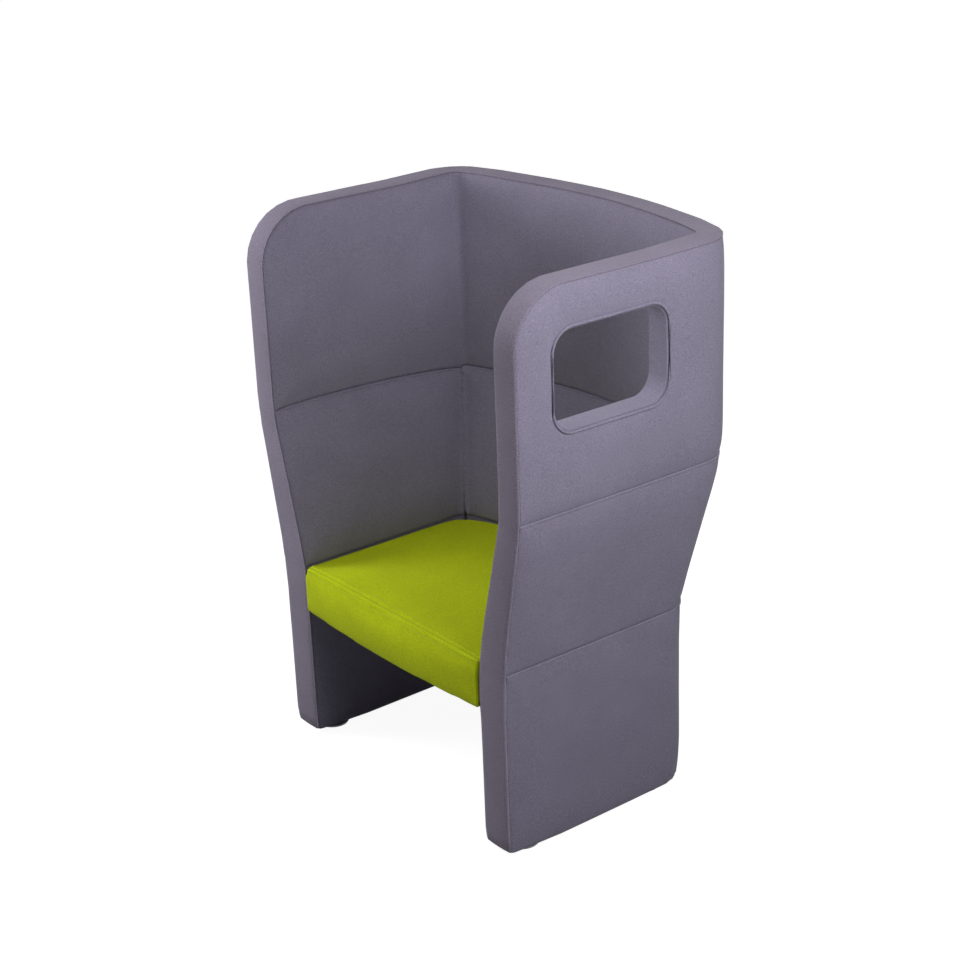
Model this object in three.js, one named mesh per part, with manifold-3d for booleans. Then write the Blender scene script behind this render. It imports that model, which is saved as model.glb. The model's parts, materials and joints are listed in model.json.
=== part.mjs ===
// Acoustic high back lounge chair: a padded U-shaped shell in three sewn tiers, which stands on two
// slab legs and flares above the seat, with an upholstered seat and a window in its right wall.
// Millimetres, +Z up, the open front faces -Y, the origin is on the floor under the middle of the chair.
import * as THREE from "three";
import { mergeVertices } from "three/addons/utils/BufferGeometryUtils.js";
import Module from "manifold-3d";

const wasm = await Module();
wasm.setup();

// Shell in plan, at the seat (leg) and at the hood above the flare
const legInnerHalf = 321;
const legWall = 86;
const sideFlare = 89;
const hoodWall = 64;
const frontY = -329;
const sittingDepth = 515;
const legBackWall = 80;
const backFlare = 110;
const hoodBackWall = 55;
const backBowRadius = 1150;
const outerCornerRadius = 100;
const innerCornerRadius = 12;
const legOuterHalf = legInnerHalf + legWall;
const hoodInnerHalf = legInnerHalf + sideFlare;
const hoodOuterHalf = hoodInnerHalf + hoodWall;
const legBackInnerY = frontY + sittingDepth;
const legBackOuterY = legBackInnerY + legBackWall;
const hoodBackInnerY = legBackInnerY + backFlare;
const hoodBackOuterY = hoodBackInnerY + hoodBackWall;

// Shell in height: the underside of the seat, the two seams between the tiers, and the corners
const legBottomZ = 5;
const seatBottomZ = 330;
const apronHeight = 109;
const flareHeight = 350;
const hoodHeight = 476;
const topFrontRadius = 130;
const legHeelRadius = 76;
const flareStartZ = seatBottomZ + apronHeight;
const flareEndZ = flareStartZ + flareHeight;
const topZ = flareEndZ + hoodHeight;

// Layers of the shell, from both faces inwards: padding, then a core board between
const outerPadThickness = 22;
const innerPadThickness = 20;
const bandDepth = 18;
const seamDepth = 3;

// Clearance that pieces keep where one rests on or is cut by another, and the reach of every cut
const fit = 0.3;
const overrun = 60;

// Window in the right wall
const windowFrontMargin = 94;
const windowWidth = 308;
const windowTopMargin = 93;
const windowHeight = 217;
const windowRadius = 52;
const liningThickness = 5;
const weltWidth = 6;

// Seat: cushion on a board that lies in its underside, over a thin cover
const seatSideClearance = 1.5;
const seatFrontReach = 8;
const seatFrontBow = 14;
const seatThickness = 114;
const seatFrontRise = 3;
const seatCrown = 10;
const seatRearFall = 7;
const seatRearRadius = 34;
const seatEdgeRounding = 14;
const seatUndersideRounding = 7;
const deckMargin = 20;
const deckThickness = 18;
const dustCoverThickness = 1.2;

// Seat rails: one steel angle on each leg, with bolts into the leg and into the seat board
const railFrontSetback = 101;
const railRearSetback = 84;
const railFlange = 38;
const railThickness = 4;
const boltRadius = 4;
const boltHeadRadius = 7;
const boltHeadHeight = 5;
const legBoltReach = 44;
const deckBoltReach = 12;
const boltInset = 45;

// Levelling feet: a wide glide on a threaded stem, which screws into a sleeve in the leg
const footSideInset = 40;
const footFrontInset = 71;
const footRearInset = 123;
const glideRadius = 36;
const glideEdge = 2;
const stemRadius = 4;
const stemTopZ = 40;
const stemSocketDepth = 4;
const sleeveRadius = 7;
const sleeveLength = 26;

// Steps of the round stretches
const cornerSteps = 7;
const bowSteps = 16;
const frontBowSteps = 10;
const roundSteps = 20;
const boltSteps = 12;
const profileSteps = 8;

// Materials
function finish(color, roughness, metalness) {
  return new THREE.MeshStandardMaterial({ color, roughness, metalness });
}
const greyFabric = finish(0x6e6a7c, 0.95, 0);
const greenFabric = finish(0xa6bd10, 0.95, 0);
const plywood = finish(0xb08a5a, 0.7, 0);
const blackCloth = finish(0x1c1c1e, 0.95, 0);
const steel = finish(0x9a9da1, 0.4, 0.9);
const greyPlastic = finish(0xb9b9bb, 0.5, 0);

// Solids from closed geometry, and meshes from solids
function solidOf(geometry) {
  const bare = geometry.clone();
  bare.deleteAttribute("normal");
  bare.deleteAttribute("uv");
  const merged = mergeVertices(bare);
  return new wasm.Manifold(new wasm.Mesh({
    numProp: 3,
    vertProperties: Float32Array.from(merged.attributes.position.array),
    triVerts: Uint32Array.from(merged.index.array),
  }));
}

const chair = new THREE.Group();

function addPiece(name, solid, material) {
  const { vertProperties, triVerts } = solid.getMesh();
  const geometry = new THREE.BufferGeometry();
  geometry.setAttribute("position", new THREE.BufferAttribute(vertProperties, 3));
  geometry.setIndex(new THREE.BufferAttribute(triVerts, 1));
  geometry.computeVertexNormals();
  const mesh = new THREE.Mesh(geometry, material);
  mesh.name = name;
  chair.add(mesh);
}

// Closed solid through level outlines that run counter-clockwise with equally many points
function loft(levels) {
  const count = levels[0].outline.length;
  const positions = levels.flatMap(({ outline, z }) => outline.flatMap((point) => [point.x, point.y, z]));
  const index = [];
  for (let ring = 0; ring < levels.length - 1; ring++) {
    for (let i = 0; i < count; i++) {
      const a = ring * count + i;
      const b = ring * count + (i + 1) % count;
      index.push(a, b, b + count, a, b + count, a + count);
    }
  }
  const top = (levels.length - 1) * count;
  for (const [a, b, c] of THREE.ShapeUtils.triangulateShape(levels[0].outline, [])) {
    index.push(a, c, b);
    index.push(top + a, top + b, top + c);
  }
  const geometry = new THREE.BufferGeometry();
  geometry.setAttribute("position", new THREE.Float32BufferAttribute(positions, 3));
  geometry.setIndex(index);
  return solidOf(geometry);
}

function block(x0, x1, y0, y1, z0, z1) {
  const geometry = new THREE.BoxGeometry(x1 - x0, y1 - y0, z1 - z0);
  geometry.translate((x0 + x1) / 2, (y0 + y1) / 2, (z0 + z1) / 2);
  return solidOf(geometry);
}

// Plan outline: straight sides, tangent corner arcs and a bowed back, from right front to left front
function planOutline(half, backY, bow, corner, openY) {
  const bowCentreY = backY - bow;
  const cornerX = half - corner;
  const cornerY = bowCentreY + Math.sqrt((bow - corner) ** 2 - cornerX ** 2);
  const turn = Math.atan2(cornerY - bowCentreY, cornerX);
  const right = [new THREE.Vector2(half, openY)];
  for (let i = 0; i <= cornerSteps; i++) {
    const angle = turn * i / cornerSteps;
    right.push(new THREE.Vector2(cornerX + corner * Math.cos(angle), cornerY + corner * Math.sin(angle)));
  }
  const back = [];
  for (let i = 1; i < bowSteps; i++) {
    const angle = turn + (Math.PI - 2 * turn) * i / bowSteps;
    back.push(new THREE.Vector2(bow * Math.cos(angle), bowCentreY + bow * Math.sin(angle)));
  }
  const left = right.map((point) => new THREE.Vector2(-point.x, point.y)).reverse();
  return [...right, ...back, ...left];
}

// Stacks a leg outline and a hood outline over the two seams, from below the floor to above the top
function flared(legOutline, hoodOutline, bottomZ) {
  return loft([
    { outline: legOutline, z: bottomZ },
    { outline: legOutline, z: flareStartZ },
    { outline: hoodOutline, z: flareEndZ },
    { outline: hoodOutline, z: topZ + overrun },
  ]);
}

// Everything inside the outer face of the shell, drawn in by an inset
const outerOpenY = frontY - overrun;
function outerEnvelope(inset) {
  const bow = backBowRadius - inset;
  const corner = outerCornerRadius - inset;
  return flared(
    planOutline(legOuterHalf - inset, legBackOuterY - inset, bow, corner, outerOpenY),
    planOutline(hoodOuterHalf - inset, hoodBackOuterY - inset, bow, corner, outerOpenY),
    -overrun,
  );
}

// Everything inside the inner face of the shell, grown by an offset: the sitting space, and below it
// the space between the legs, which runs out under the back
const innerOpenY = outerOpenY - overrun;
const farBackY = hoodBackOuterY + overrun;
function innerVoid(offset) {
  const legBow = backBowRadius - (legBackOuterY - legBackInnerY) + offset;
  const hoodBow = backBowRadius - (hoodBackOuterY - hoodBackInnerY) + offset;
  const corner = innerCornerRadius + offset;
  const sitting = flared(
    planOutline(legInnerHalf + offset, legBackInnerY + offset, legBow, corner, innerOpenY),
    planOutline(hoodInnerHalf + offset, hoodBackInnerY + offset, hoodBow, corner, innerOpenY),
    seatBottomZ,
  );
  const half = legInnerHalf + offset;
  return sitting.add(block(-half, half, innerOpenY, farBackY, -overrun - overrun, seatBottomZ + offset));
}

// All space between two walls that follow the flare
function flaredSlab(legHalf, hoodHalf) {
  const band = (half) => [
    new THREE.Vector2(half, innerOpenY),
    new THREE.Vector2(half, farBackY),
    new THREE.Vector2(-half, farBackY),
    new THREE.Vector2(-half, innerOpenY),
  ];
  return flared(band(legHalf), band(hoodHalf), -overrun - overrun);
}
const innerSlab = (offset) => flaredSlab(legInnerHalf + offset, hoodInnerHalf + offset);
const outerSlab = (offset) => flaredSlab(
  legOuterHalf - outerCornerRadius + offset,
  hoodOuterHalf - outerCornerRadius + offset,
);

// Turns a shape drawn in Y and Z into a solid between two X planes
function acrossX(shape, x0, x1) {
  const geometry = new THREE.ExtrudeGeometry(shape, {
    depth: x1 - x0,
    bevelEnabled: false,
    curveSegments: profileSteps,
  });
  const yzToXyz = new THREE.Matrix4().makeBasis(
    new THREE.Vector3(0, 1, 0),
    new THREE.Vector3(0, 0, 1),
    new THREE.Vector3(1, 0, 0),
  );
  geometry.applyMatrix4(yzToXyz);
  geometry.translate(x0, 0, 0);
  return solidOf(geometry);
}

// Side view of the shell: rounded at the top front and at the heel of each leg
const cornerReach = legInnerHalf - (legOuterHalf - outerCornerRadius);
const cornerDistance = backBowRadius - outerCornerRadius;
const legHeelY = legBackOuterY - backBowRadius
  + Math.sqrt(cornerDistance ** 2 - (legOuterHalf - outerCornerRadius) ** 2)
  + Math.sqrt(outerCornerRadius ** 2 - cornerReach ** 2);
const wide = hoodOuterHalf + overrun;
function sideProfile() {
  const shape = new THREE.Shape();
  shape.moveTo(frontY, legBottomZ);
  shape.lineTo(legHeelY - legHeelRadius, legBottomZ);
  shape.absarc(legHeelY - legHeelRadius, legBottomZ + legHeelRadius, legHeelRadius, -Math.PI / 2, 0, false);
  shape.lineTo(farBackY, legBottomZ + legHeelRadius);
  shape.lineTo(farBackY, topZ);
  shape.lineTo(frontY + topFrontRadius, topZ);
  shape.absarc(frontY + topFrontRadius, topZ - topFrontRadius, topFrontRadius, Math.PI / 2, Math.PI, false);
  shape.closePath();
  return acrossX(shape, -wide, wide);
}

// Side view of what lies behind the edge band, at a depth from the front and top edges
function behindBand(depth) {
  const radius = topFrontRadius - depth;
  const shape = new THREE.Shape();
  shape.moveTo(frontY + depth, -overrun);
  shape.lineTo(farBackY, -overrun);
  shape.lineTo(farBackY, topZ - depth);
  shape.lineTo(frontY + topFrontRadius, topZ - depth);
  shape.absarc(frontY + topFrontRadius, topZ - topFrontRadius, radius, Math.PI / 2, Math.PI, false);
  shape.closePath();
  return acrossX(shape, -wide, wide);
}

// Side view of the window opening, drawn in by an inset, between two X planes
const windowFrontY = frontY + windowFrontMargin;
const windowTopZ = topZ - windowTopMargin;
function windowOpening(inset, x0, x1) {
  const y0 = windowFrontY + inset;
  const y1 = windowFrontY + windowWidth - inset;
  const z0 = windowTopZ - windowHeight + inset;
  const z1 = windowTopZ - inset;
  const r = windowRadius - inset;
  const shape = new THREE.Shape();
  shape.moveTo(y0 + r, z0);
  shape.absarc(y1 - r, z0 + r, r, -Math.PI / 2, 0, false);
  shape.absarc(y1 - r, z1 - r, r, 0, Math.PI / 2, false);
  shape.absarc(y0 + r, z1 - r, r, Math.PI / 2, Math.PI, false);
  shape.absarc(y0 + r, z0 + r, r, Math.PI, 3 * Math.PI / 2, false);
  return acrossX(shape, x0, x1);
}

// The tiers, with the clearance on the upper side of each seam
const tiers = [
  { name: "lower", z0: -overrun, z1: flareStartZ },
  { name: "middle", z0: flareStartZ + fit, z1: flareEndZ },
  { name: "upper", z0: flareEndZ + fit, z1: topZ + overrun },
];
const sides = [{ side: "left", sign: -1 }, { side: "right", sign: 1 }];
const tierBlock = ({ z0, z1 }) => block(-wide, wide, innerOpenY, farBackY, z0, z1);
const sideBlock = (sign) => (sign > 0
  ? block(0, wide, innerOpenY, farBackY, -overrun, topZ + overrun)
  : block(-wide, 0, innerOpenY, farBackY, -overrun, topZ + overrun));

const silhouette = sideProfile();
const voidSpace = innerVoid(0);
const padSpace = innerVoid(innerPadThickness);
const shellBody = outerEnvelope(0).subtract(voidSpace).intersect(silhouette);
const behindSeams = shellBody.intersect(behindBand(seamDepth + fit));

// Padding behind the bands' seams, the board between it, and bands with a foam rib that reaches to the board
const boardEnvelope = outerEnvelope(outerPadThickness + fit);
const boardVoid = innerVoid(innerPadThickness + fit);
const outerPadding = behindSeams.subtract(outerEnvelope(outerPadThickness));
const innerPadding = behindSeams.intersect(boardEnvelope).intersect(padSpace);
const boardSpace = shellBody.intersect(behindBand(bandDepth + fit)).intersect(boardEnvelope);
const core = boardSpace.subtract(boardVoid);
const ribSpace = boardEnvelope.subtract(boardVoid).subtract(behindBand(bandDepth));
const face = shellBody.subtract(behindBand(seamDepth));
const bands = face.add(shellBody.intersect(ribSpace));

// Holes through the right wall for the window
const windowHole = windowOpening(-fit, 0, wide);

// Bolts through the seat rails, as places along the rails
const railTopZ = seatBottomZ - fit;
const railX = legInnerHalf - fit;
const railFrontY = frontY + railFrontSetback;
const railRearY = legBackInnerY - railRearSetback;
const boltPlaces = [railFrontY + boltInset, railRearY - boltInset];
const legBoltZ = railTopZ - railFlange / 2 - boltHeadRadius / 2;
const deckBoltX = railX - railFlange + boltHeadRadius + fit + fit;

// A round bar along an axis from a start point
function bar(radius, length, steps, axis, x, y, z) {
  const geometry = new THREE.CylinderGeometry(radius, radius, length, steps);
  geometry.translate(0, length / 2, 0);
  if (axis === "z") geometry.rotateX(Math.PI / 2);
  if (axis === "x") geometry.rotateZ(-Math.PI / 2);
  if (axis === "-x") geometry.rotateZ(Math.PI / 2);
  geometry.translate(x, y, z);
  return solidOf(geometry);
}

// Holes that the rail bolts and the feet need in a leg
const footX = legInnerHalf + footSideInset;
const footPlaces = [
  { place: "front", y: frontY + footFrontInset },
  { place: "rear", y: legHeelY - footRearInset },
];
const withoutAll = (solid, holes) => holes.reduce((rest, hole) => rest.subtract(hole), solid);
const outward = (sign) => (sign > 0 ? "x" : "-x");
const boltHoles = (sign) => boltPlaces.map((y) => bar(
  boltRadius + fit, legBoltReach + overrun, boltSteps, outward(sign), sign * (railX - overrun), y, legBoltZ,
));
const footHoles = (sign) => footPlaces.map(({ y }) => bar(
  sleeveRadius + fit, stemTopZ + fit + overrun, roundSteps, "z", sign * footX, y, -overrun,
));

// Legs and walls: padding, core boards and edge bands on each side
for (const { side, sign } of sides) {
  const half = sideBlock(sign);
  const windows = sign > 0 ? [windowHole] : [];
  const outerPads = withoutAll(outerPadding.intersect(half).subtract(outerSlab(0)), windows);
  const innerPads = withoutAll(
    innerPadding.intersect(half).subtract(innerSlab(0)), [...windows, ...boltHoles(sign)],
  );
  const sideBands = bands.intersect(half).subtract(innerSlab(0));
  const board = withoutAll(
    core.intersect(half).subtract(innerSlab(innerPadThickness + fit)),
    [...windows, ...boltHoles(sign), ...footHoles(sign)],
  );
  addPiece(`${side}_core_board`, board, plywood);
  for (const tier of tiers) {
    const slice = tierBlock(tier);
    addPiece(`${side}_outer_pad_${tier.name}`, outerPads.intersect(slice), greyFabric);
    addPiece(`${side}_inner_pad_${tier.name}`, innerPads.intersect(slice), greyFabric);
    addPiece(`${side}_edge_band_${tier.name}`, sideBands.intersect(slice), greyFabric);
  }
}

// Back: padding on both faces, a core board between the side boards, and the band along its top
addPiece("back_core_board", core.intersect(innerSlab(innerPadThickness)), plywood);
for (const tier of tiers) {
  const slice = tierBlock(tier);
  const outerPad = outerPadding.intersect(outerSlab(-fit)).intersect(slice);
  const innerPad = innerPadding.intersect(innerSlab(-fit)).intersect(slice);
  addPiece(`back_outer_pad_${tier.name}`, outerPad, greyFabric);
  addPiece(`back_inner_pad_${tier.name}`, innerPad, greyFabric);
}
addPiece("back_edge_band", bands.intersect(innerSlab(-fit)), greyFabric);

// Window: a lining through the wall, with a welt round its edge on each face
const liningHole = windowOpening(liningThickness, 0, wide);
function windowRing(x0, x1) {
  return windowOpening(0, x0, x1).subtract(liningHole);
}
const liningX0 = hoodInnerHalf + weltWidth;
const liningX1 = hoodOuterHalf - weltWidth;
addPiece("window_inner_welt", windowRing(hoodInnerHalf, liningX0), greyFabric);
addPiece("window_lining", windowRing(liningX0 + fit, liningX1 - fit), greyFabric);
addPiece("window_outer_welt", windowRing(liningX1, hoodOuterHalf), greyFabric);

// Seat outline: straight sides, a bowed front and a rear that follows the back, drawn in by an inset
const seatHalf = legInnerHalf - seatSideClearance;
const seatFrontEndY = frontY - seatFrontReach;
const seatEdgeZ = seatBottomZ + seatThickness;
const seatBackY = legBackInnerY - seatSideClearance;
const seatBow = backBowRadius - (legBackOuterY - legBackInnerY) - seatSideClearance;
function seatOutline(inset) {
  const half = seatHalf - inset;
  const outline = planOutline(
    half, seatBackY - inset, seatBow - inset, seatRearRadius - inset, seatFrontEndY + inset,
  );
  for (let i = 1; i < frontBowSteps; i++) {
    const share = 2 * i / frontBowSteps - 1;
    const bowed = seatFrontEndY + inset - seatFrontBow * (1 - share ** 2);
    outline.push(new THREE.Vector2(half * share, bowed));
  }
  return outline;
}

// Cushion: a boxed edge with rounded rims, drawn in at the top seam, under a crowned top
const crownShares = [0.94, 0.84, 0.68, 0.48, 0.26, 0.1];
const seatMiddleY = (seatFrontEndY + seatBackY) / 2;
const seatHalfDepth = (seatBackY - seatFrontEndY) / 2;
function seatSurfaceZ(x, y) {
  const across = Math.max(0, 1 - (x / seatHalf) ** 2);
  const along = (y - seatMiddleY) / seatHalfDepth;
  const crown = seatCrown * across * Math.max(0, 1 - along ** 2);
  return seatEdgeZ + seatFrontRise * across + crown - seatRearFall * Math.max(0, along);
}
function cushion() {
  const undersideZ = seatBottomZ;
  const rows = [
    { inset: seatUndersideRounding, z: undersideZ },
    { inset: 0, z: undersideZ + seatUndersideRounding },
    { inset: 0, z: seatEdgeZ - 2 * seatEdgeRounding },
  ].map(({ inset, z }) => seatOutline(inset).map((point) => new THREE.Vector3(point.x, point.y, z)));
  const onSurface = (point, drop) => new THREE.Vector3(
    point.x, point.y, seatSurfaceZ(point.x, point.y) - drop,
  );
  const shoulder = seatOutline(seatEdgeRounding / 6).map((point) => onSurface(point, seatEdgeRounding / 2));
  const rim = seatOutline(seatEdgeRounding / 2).map((point) => onSurface(point, 0));
  rows.push(shoulder, rim);
  for (const share of crownShares) {
    rows.push(rim.map((point) => {
      const y = seatMiddleY + (point.y - seatMiddleY) * share;
      return onSurface(new THREE.Vector2(point.x * share, y), 0);
    }));
  }
  const count = rim.length;
  const positions = rows.flat().flatMap((point) => [point.x, point.y, point.z]);
  const index = [];
  for (let row = 0; row < rows.length - 1; row++) {
    for (let i = 0; i < count; i++) {
      const a = row * count + i;
      const b = row * count + (i + 1) % count;
      index.push(a, b, b + count, a, b + count, a + count);
    }
  }
  const top = (rows.length - 1) * count;
  for (const [a, b, c] of THREE.ShapeUtils.triangulateShape(seatOutline(seatUndersideRounding), [])) {
    index.push(a, c, b);
    index.push(top + a, top + b, top + c);
  }
  const geometry = new THREE.BufferGeometry();
  geometry.setAttribute("position", new THREE.Float32BufferAttribute(positions, 3));
  geometry.setIndex(index);
  return solidOf(geometry);
}
const flat = (outline, z0, z1) => loft([{ outline, z: z0 }, { outline, z: z1 }]);
const deckBottomZ = seatBottomZ + dustCoverThickness + fit;
const deckTopZ = deckBottomZ + deckThickness;
const deckRecess = flat(seatOutline(deckMargin - fit), seatBottomZ - overrun, deckTopZ + fit);
const deckHoles = sides.flatMap(({ sign }) => boltPlaces.map((y) => bar(
  boltRadius + fit, deckBoltReach + fit + overrun, boltSteps, "z", sign * deckBoltX, y, railTopZ - overrun,
)));
const deck = flat(seatOutline(deckMargin), deckBottomZ, deckTopZ);
const dustCover = flat(seatOutline(deckMargin), seatBottomZ, deckBottomZ - fit);
addPiece("seat_cushion", cushion().subtract(deckRecess), greenFabric);
addPiece("seat_board", withoutAll(deck, deckHoles), plywood);
addPiece("seat_dust_cover", withoutAll(dustCover, deckHoles), blackCloth);

// Seat rails and their bolts
function bolt(reach, axis, x, y, z, direction) {
  const head = bar(boltHeadRadius, boltHeadHeight, boltSteps, axis, x, y, z);
  const shankX = axis === "z" ? x : x + direction * boltHeadHeight / 2;
  const shankZ = axis === "z" ? z + boltHeadHeight / 2 : z;
  return head.add(bar(boltRadius, boltHeadHeight / 2 + reach, boltSteps, axis, shankX, y, shankZ));
}
for (const { side, sign } of sides) {
  const flange = (width, height) => {
    const ends = [sign * railX, sign * (railX - width)];
    return block(Math.min(...ends), Math.max(...ends), railFrontY, railRearY, railTopZ - height, railTopZ);
  };
  const angle = flange(railThickness, railFlange).add(flange(railFlange, railThickness));
  const holes = boltPlaces.flatMap((y) => [
    bar(boltRadius + fit, overrun, boltSteps, "z", sign * deckBoltX, y, railTopZ - overrun / 2),
    bar(boltRadius + fit, overrun, boltSteps, "x", sign * railX - overrun / 2, y, legBoltZ),
  ]);
  addPiece(`${side}_seat_rail`, withoutAll(angle, holes), steel);
  boltPlaces.forEach((y, i) => {
    const headX = railX - railThickness - fit - boltHeadHeight;
    const headZ = railTopZ - railThickness - fit - boltHeadHeight;
    const legBolt = bolt(legBoltReach, outward(sign), sign * headX, y, legBoltZ, sign);
    addPiece(`${side}_leg_bolt_${i + 1}`, legBolt, steel);
    addPiece(`${side}_deck_bolt_${i + 1}`, bolt(deckBoltReach, "z", sign * deckBoltX, y, headZ, 1), steel);
  });
}

// Levelling feet
function lathed(profile, x, y) {
  const points = profile.map(([radius, z]) => new THREE.Vector2(radius, z));
  const geometry = new THREE.LatheGeometry(points, roundSteps);
  geometry.rotateX(Math.PI / 2);
  geometry.translate(x, y, 0);
  return solidOf(geometry);
}
const glideTopZ = legBottomZ - fit;
const socketZ = glideTopZ - stemSocketDepth;
for (const { side, sign } of sides) {
  for (const { place, y } of footPlaces) {
    const x = sign * footX;
    const sleeve = [
      [stemRadius + fit, legBottomZ],
      [sleeveRadius, legBottomZ],
      [sleeveRadius, legBottomZ + sleeveLength],
      [stemRadius + fit, legBottomZ + sleeveLength],
      [stemRadius + fit, legBottomZ],
    ];
    const stem = [
      [0, socketZ + fit],
      [stemRadius, socketZ + fit],
      [stemRadius, stemTopZ],
      [0, stemTopZ],
    ];
    const glide = [
      [0, 0],
      [glideRadius - glideEdge, 0],
      [glideRadius, glideEdge],
      [glideRadius, glideTopZ - glideEdge],
      [glideRadius - glideEdge, glideTopZ],
      [stemRadius + fit, glideTopZ],
      [stemRadius + fit, socketZ],
      [0, socketZ],
    ];
    addPiece(`${side}_${place}_foot_sleeve`, lathed(sleeve, x, y), steel);
    addPiece(`${side}_${place}_foot_stem`, lathed(stem, x, y), steel);
    addPiece(`${side}_${place}_foot_glide`, lathed(glide, x, y), greyPlastic);
  }
}

export default chair;
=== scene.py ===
import json
import math

import bpy
import numpy as np
from mathutils import Matrix, Vector, noise
from mathutils.kdtree import KDTree

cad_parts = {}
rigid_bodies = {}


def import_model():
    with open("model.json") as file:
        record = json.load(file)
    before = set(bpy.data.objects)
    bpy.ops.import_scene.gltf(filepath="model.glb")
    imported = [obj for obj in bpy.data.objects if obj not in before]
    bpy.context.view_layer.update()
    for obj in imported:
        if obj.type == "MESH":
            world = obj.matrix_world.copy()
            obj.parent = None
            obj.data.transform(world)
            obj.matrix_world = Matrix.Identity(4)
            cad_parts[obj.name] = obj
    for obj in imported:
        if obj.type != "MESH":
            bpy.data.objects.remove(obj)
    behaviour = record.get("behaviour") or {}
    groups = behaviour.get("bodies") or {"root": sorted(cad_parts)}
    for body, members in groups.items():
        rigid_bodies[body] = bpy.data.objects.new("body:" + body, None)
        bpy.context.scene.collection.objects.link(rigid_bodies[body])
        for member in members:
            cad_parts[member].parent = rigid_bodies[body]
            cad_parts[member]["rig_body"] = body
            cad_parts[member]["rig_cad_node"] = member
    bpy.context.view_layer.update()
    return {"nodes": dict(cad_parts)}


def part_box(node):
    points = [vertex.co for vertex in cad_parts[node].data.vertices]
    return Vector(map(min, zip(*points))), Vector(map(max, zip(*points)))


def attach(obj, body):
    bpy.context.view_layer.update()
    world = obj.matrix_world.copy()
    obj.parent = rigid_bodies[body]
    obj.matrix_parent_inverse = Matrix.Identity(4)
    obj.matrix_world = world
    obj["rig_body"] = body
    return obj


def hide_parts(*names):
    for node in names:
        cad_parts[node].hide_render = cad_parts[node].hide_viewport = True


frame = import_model()
scene = bpy.context.scene
scene.view_settings.view_transform = "Standard"

# The studio: a white floor under a white backdrop, with the camera at standing height to the right of the
# chair's front.
# The photograph's own lens and tilt are kept, so each seam falls where the picture has it.
bpy.ops.object.camera_add(location=(3.20949, -2.52858, 2.29788))
camera = bpy.context.object
camera.name = "studio_camera"
look_right = Vector((0.62121715, 0.78279905, -0.03626161))
look_up = Vector((-0.26983465, 0.25712168, 0.92794273))
look_back = Vector((0.73571633, -0.5666693, 0.3709547))
turn = Matrix((look_right, look_up, look_back)).transposed()
camera.matrix_world = Matrix.Translation(camera.location) @ turn.to_4x4()
camera.data.sensor_width = 36
camera.data.lens = 73.3016
camera.data.dof.use_dof = False
scene.camera = camera


def softbox(name, spot, aim, wide, watts):
    bpy.ops.object.light_add(type="AREA", location=spot)
    lamp = bpy.context.object
    lamp.name = name
    lamp.data.shape = "DISK"
    lamp.data.size = wide
    lamp.data.energy = watts
    lamp.visible_camera = False
    lamp.rotation_euler = (Vector(aim) - Vector(spot)).to_track_quat("-Z", "Y").to_euler()


softbox("key_softbox", (2.05, 0.15, 2.15), (0.3, 0.0, 0.8), 1.3, 20.5)
softbox("side_softbox", (1.9, -0.3, 1.35), (0.4, -0.1, 1.0), 0.9, 4.5)
softbox("window_softbox", (1.35, -0.35, 1.75), (0.45, -0.05, 1.1), 0.6, 5.2)
softbox("left_softbox", (-2.4, -1.9, 1.3), (-0.3, -0.2, 0.9), 0.9, 16)
softbox("near_left_softbox", (-1.5, -1.4, 1.6), (-0.3, -0.2, 0.9), 0.8, 17)
softbox("low_softbox", (-0.3, -1.9, 0.75), (0.0, -0.3, 0.4), 0.5, 2.5)
softbox("overhead_softbox", (-0.2, -0.4, 3.4), (0.0, 0.0, 0.6), 2.2, 18)
softbox("rear_softbox", (-0.6, 0.9, 3.2), (0.0, 0.0, 0.6), 1.2, 2.5)
softbox("seat_softbox", (-0.5, -1.1, 2.4), (0.0, -0.1, 0.5), 0.9, 3)


def add_node(tree, kind, settings=None, **inputs):
    """A shader node with its settings made and its named inputs given as values or as other sockets."""
    made = tree.nodes.new(kind)
    for key, value in (settings or {}).items():
        setattr(made, key, value)
    for key, value in inputs.items():
        numbered = key[0] == "i" and key[1:].isdigit()
        socket = made.inputs[int(key[1:]) if numbered else key.replace("_", " ")]
        if isinstance(value, bpy.types.NodeSocket):
            tree.links.new(value, socket)
        else:
            socket.default_value = value
    return made


scene.world = bpy.data.worlds.new("studio_air")
scene.world.use_nodes = True
air = scene.world.node_tree
air.nodes.clear()
ray = add_node(air, "ShaderNodeLightPath")
seen = add_node(air, "ShaderNodeMath", {"operation": "ADD", "use_clamp": True},
                i0=ray.outputs["Is Camera Ray"], i1=ray.outputs["Is Glossy Ray"])
seen = add_node(air, "ShaderNodeMath", {"operation": "ADD", "use_clamp": True},
                i0=seen.outputs[0], i1=ray.outputs["Is Transmission Ray"])
ambient = add_node(air, "ShaderNodeBackground", Color=(0.96, 0.97, 1.0, 1), Strength=0.005)
white = add_node(air, "ShaderNodeBackground", Color=(1, 1, 1, 1), Strength=1.0)
both = add_node(air, "ShaderNodeMixShader", i0=seen.outputs[0], i1=ambient.outputs[0], i2=white.outputs[0])
add_node(air, "ShaderNodeOutputWorld", Surface=both.outputs[0])

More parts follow.
